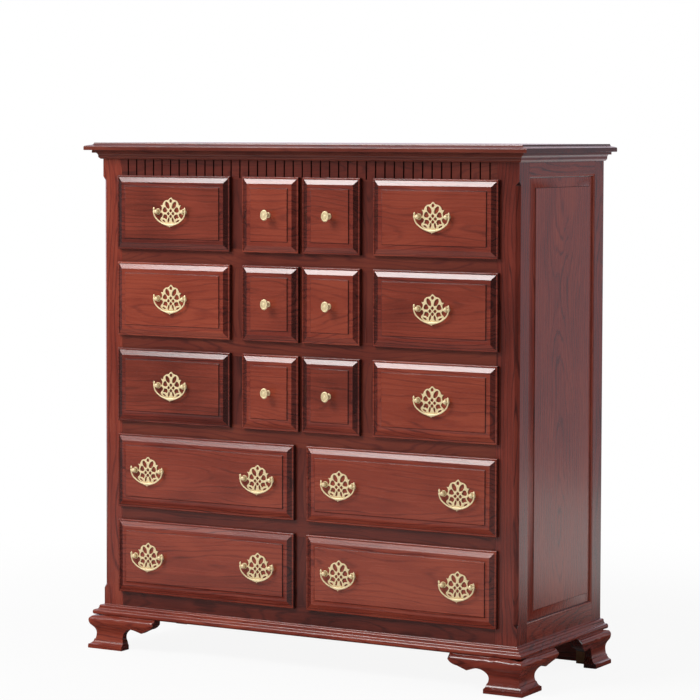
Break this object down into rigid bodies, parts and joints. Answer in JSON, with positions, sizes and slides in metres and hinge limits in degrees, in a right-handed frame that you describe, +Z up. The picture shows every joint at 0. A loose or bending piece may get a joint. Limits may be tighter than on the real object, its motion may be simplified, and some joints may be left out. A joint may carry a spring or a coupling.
{
  "type": "multi-drawer chest",
  "caption": "Wooden chest of drawers on bracket feet, with lipped raised fronts that slide out, bail pulls that swing, small knobs and panelled sides.",
  "frame": {"origin": "on the floor, under the centre of the whole object's box", "axes": "+Z up; +X to the right of someone facing the drawers; the drawers open toward -Y and the plain back faces +Y"},
  "size_m": [1.2394, 0.4994, 1.28],
  "materials": {
    "stained_cherry": "satin varnish over a reddish stain",
    "plain_wood": "unfinished",
    "brass": "polished"
  },
  "bodies": {
    "carcass": {"top_board": "stained_cherry", "crown_moulding": "stained_cherry", "corner_posts": "stained_cherry", "face_frame": "stained_cherry", "frieze_rail": "stained_cherry", "right_side_frame": "stained_cherry", "left_side_frame": "stained_cherry", "side_panels": "stained_cherry", "back_panel": "plain_wood", "web_frames": "plain_wood", "partitions": "plain_wood", "base_moulding": "stained_cherry", "bracket_feet": "stained_cherry", "foot_blocks": "plain_wood"},
    "sliding_r1_left": {"drawer_r1_left": "stained_cherry", "pull_plates_r1_left": "brass"},
    "swinging_bail_r1_left": {"bail_r1_left": "brass"},
    "sliding_r1_inner_left": {"drawer_r1_inner_left": "stained_cherry", "knob_r1_inner_left": "brass"},
    "sliding_r1_inner_right": {"drawer_r1_inner_right": "stained_cherry", "knob_r1_inner_right": "brass"},
    "sliding_r1_right": {"drawer_r1_right": "stained_cherry", "pull_plates_r1_right": "brass"},
    "swinging_bail_r1_right": {"bail_r1_right": "brass"},
    "sliding_r2_left": {"drawer_r2_left": "stained_cherry", "pull_plates_r2_left": "brass"},
    "swinging_bail_r2_left": {"bail_r2_left": "brass"},
    "sliding_r2_inner_left": {"drawer_r2_inner_left": "stained_cherry", "knob_r2_inner_left": "brass"},
    "sliding_r2_inner_right": {"drawer_r2_inner_right": "stained_cherry", "knob_r2_inner_right": "brass"},
    "sliding_r2_right": {"drawer_r2_right": "stained_cherry", "pull_plates_r2_right": "brass"},
    "swinging_bail_r2_right": {"bail_r2_right": "brass"},
    "sliding_r3_left": {"drawer_r3_left": "stained_cherry", "pull_plates_r3_left": "brass"},
    "swinging_bail_r3_left": {"bail_r3_left": "brass"},
    "sliding_r3_inner_left": {"drawer_r3_inner_left": "stained_cherry", "knob_r3_inner_left": "brass"},
    "sliding_r3_inner_right": {"drawer_r3_inner_right": "stained_cherry", "knob_r3_inner_right": "brass"},
    "sliding_r3_right": {"drawer_r3_right": "stained_cherry", "pull_plates_r3_right": "brass"},
    "swinging_bail_r3_right": {"bail_r3_right": "brass"},
    "sliding_r4_left": {"drawer_r4_left": "stained_cherry", "pull_plates_r4_left": "brass"},
    "swinging_bail_r4_left_a": {"bail_r4_left_a": "brass"},
    "swinging_bail_r4_left_b": {"bail_r4_left_b": "brass"},
    "sliding_r4_right": {"drawer_r4_right": "stained_cherry", "pull_plates_r4_right": "brass"},
    "swinging_bail_r4_right_a": {"bail_r4_right_a": "brass"},
    "swinging_bail_r4_right_b": {"bail_r4_right_b": "brass"},
    "sliding_r5_left": {"drawer_r5_left": "stained_cherry", "pull_plates_r5_left": "brass"},
    "swinging_bail_r5_left_a": {"bail_r5_left_a": "brass"},
    "swinging_bail_r5_left_b": {"bail_r5_left_b": "brass"},
    "sliding_r5_right": {"drawer_r5_right": "stained_cherry", "pull_plates_r5_right": "brass"},
    "swinging_bail_r5_right_a": {"bail_r5_right_a": "brass"},
    "swinging_bail_r5_right_b": {"bail_r5_right_b": "brass"}
  },
  "joints": [
    {"name": "slide_r1_left", "type": "slide", "parent": "carcass", "child": "sliding_r1_left", "axis": [0, -1, 0], "range_m": [0, 0.35]},
    {"name": "swing_bail_r1_left", "type": "hinge", "parent": "sliding_r1_left", "child": "swinging_bail_r1_left", "pos_m": [-0.3682, -0.23665, 1.10995], "axis": [-1, 0, 0], "range_deg": [-4, 42]},
    {"name": "slide_r1_inner_left", "type": "slide", "parent": "carcass", "child": "sliding_r1_inner_left", "axis": [0, -1, 0], "range_m": [0, 0.35]},
    {"name": "slide_r1_inner_right", "type": "slide", "parent": "carcass", "child": "sliding_r1_inner_right", "axis": [0, -1, 0], "range_m": [0, 0.35]},
    {"name": "slide_r1_right", "type": "slide", "parent": "carcass", "child": "sliding_r1_right", "axis": [0, -1, 0], "range_m": [0, 0.35]},
    {"name": "swing_bail_r1_right", "type": "hinge", "parent": "sliding_r1_right", "child": "swinging_bail_r1_right", "pos_m": [0.3682, -0.23665, 1.10995], "axis": [-1, 0, 0], "range_deg": [-4, 42]},
    {"name": "slide_r2_left", "type": "slide", "parent": "carcass", "child": "sliding_r2_left", "axis": [0, -1, 0], "range_m": [0, 0.35]},
    {"name": "swing_bail_r2_left", "type": "hinge", "parent": "sliding_r2_left", "child": "swinging_bail_r2_left", "pos_m": [-0.3682, -0.23665, 0.89365], "axis": [-1, 0, 0], "range_deg": [-4, 42]},
    {"name": "slide_r2_inner_left", "type": "slide", "parent": "carcass", "child": "sliding_r2_inner_left", "axis": [0, -1, 0], "range_m": [0, 0.35]},
    {"name": "slide_r2_inner_right", "type": "slide", "parent": "carcass", "child": "sliding_r2_inner_right", "axis": [0, -1, 0], "range_m": [0, 0.35]},
    {"name": "slide_r2_right", "type": "slide", "parent": "carcass", "child": "sliding_r2_right", "axis": [0, -1, 0], "range_m": [0, 0.35]},
    {"name": "swing_bail_r2_right", "type": "hinge", "parent": "sliding_r2_right", "child": "swinging_bail_r2_right", "pos_m": [0.3682, -0.23665, 0.89365], "axis": [-1, 0, 0], "range_deg": [-4, 42]},
    {"name": "slide_r3_left", "type": "slide", "parent": "carcass", "child": "sliding_r3_left", "axis": [0, -1, 0], "range_m": [0, 0.35]},
    {"name": "swing_bail_r3_left", "type": "hinge", "parent": "sliding_r3_left", "child": "swinging_bail_r3_left", "pos_m": [-0.3682, -0.23665, 0.67735], "axis": [-1, 0, 0], "range_deg": [-4, 42]},
    {"name": "slide_r3_inner_left", "type": "slide", "parent": "carcass", "child": "sliding_r3_inner_left", "axis": [0, -1, 0], "range_m": [0, 0.35]},
    {"name": "slide_r3_inner_right", "type": "slide", "parent": "carcass", "child": "sliding_r3_inner_right", "axis": [0, -1, 0], "range_m": [0, 0.35]},
    {"name": "slide_r3_right", "type": "slide", "parent": "carcass", "child": "sliding_r3_right", "axis": [0, -1, 0], "range_m": [0, 0.35]},
    {"name": "swing_bail_r3_right", "type": "hinge", "parent": "sliding_r3_right", "child": "swinging_bail_r3_right", "pos_m": [0.3682, -0.23665, 0.67735], "axis": [-1, 0, 0], "range_deg": [-4, 42]},
    {"name": "slide_r4_left", "type": "slide", "parent": "carcass", "child": "sliding_r4_left", "axis": [0, -1, 0], "range_m": [0, 0.35]},
    {"name": "swing_bail_r4_left_a", "type": "hinge", "parent": "sliding_r4_left", "child": "swinging_bail_r4_left_a", "pos_m": [-0.4377, -0.23665, 0.46105], "axis": [-1, 0, 0], "range_deg": [-4, 42]},
    {"name": "swing_bail_r4_left_b", "type": "hinge", "parent": "sliding_r4_left", "child": "swinging_bail_r4_left_b", "pos_m": [-0.115, -0.23665, 0.46105], "axis": [-1, 0, 0], "range_deg": [-4, 42]},
    {"name": "slide_r4_right", "type": "slide", "parent": "carcass", "child": "sliding_r4_right", "axis": [0, -1, 0], "range_m": [0, 0.35]},
    {"name": "swing_bail_r4_right_a", "type": "hinge", "parent": "sliding_r4_right", "child": "swinging_bail_r4_right_a", "pos_m": [0.115, -0.23665, 0.46105], "axis": [-1, 0, 0], "range_deg": [-4, 42]},
    {"name": "swing_bail_r4_right_b", "type": "hinge", "parent": "sliding_r4_right", "child": "swinging_bail_r4_right_b", "pos_m": [0.4377, -0.23665, 0.46105], "axis": [-1, 0, 0], "range_deg": [-4, 42]},
    {"name": "slide_r5_left", "type": "slide", "parent": "carcass", "child": "sliding_r5_left", "axis": [0, -1, 0], "range_m": [0, 0.35]},
    {"name": "swing_bail_r5_left_a", "type": "hinge", "parent": "sliding_r5_left", "child": "swinging_bail_r5_left_a", "pos_m": [-0.4377, -0.23665, 0.24475], "axis": [-1, 0, 0], "range_deg": [-4, 42]},
    {"name": "swing_bail_r5_left_b", "type": "hinge", "parent": "sliding_r5_left", "child": "swinging_bail_r5_left_b", "pos_m": [-0.115, -0.23665, 0.24475], "axis": [-1, 0, 0], "range_deg": [-4, 42]},
    {"name": "slide_r5_right", "type": "slide", "parent": "carcass", "child": "sliding_r5_right", "axis": [0, -1, 0], "range_m": [0, 0.35]},
    {"name": "swing_bail_r5_right_a", "type": "hinge", "parent": "sliding_r5_right", "child": "swinging_bail_r5_right_a", "pos_m": [0.115, -0.23665, 0.24475], "axis": [-1, 0, 0], "range_deg": [-4, 42]},
    {"name": "swing_bail_r5_right_b", "type": "hinge", "parent": "sliding_r5_right", "child": "swinging_bail_r5_right_b", "pos_m": [0.4377, -0.23665, 0.24475], "axis": [-1, 0, 0], "range_deg": [-4, 42]}
  ]
}
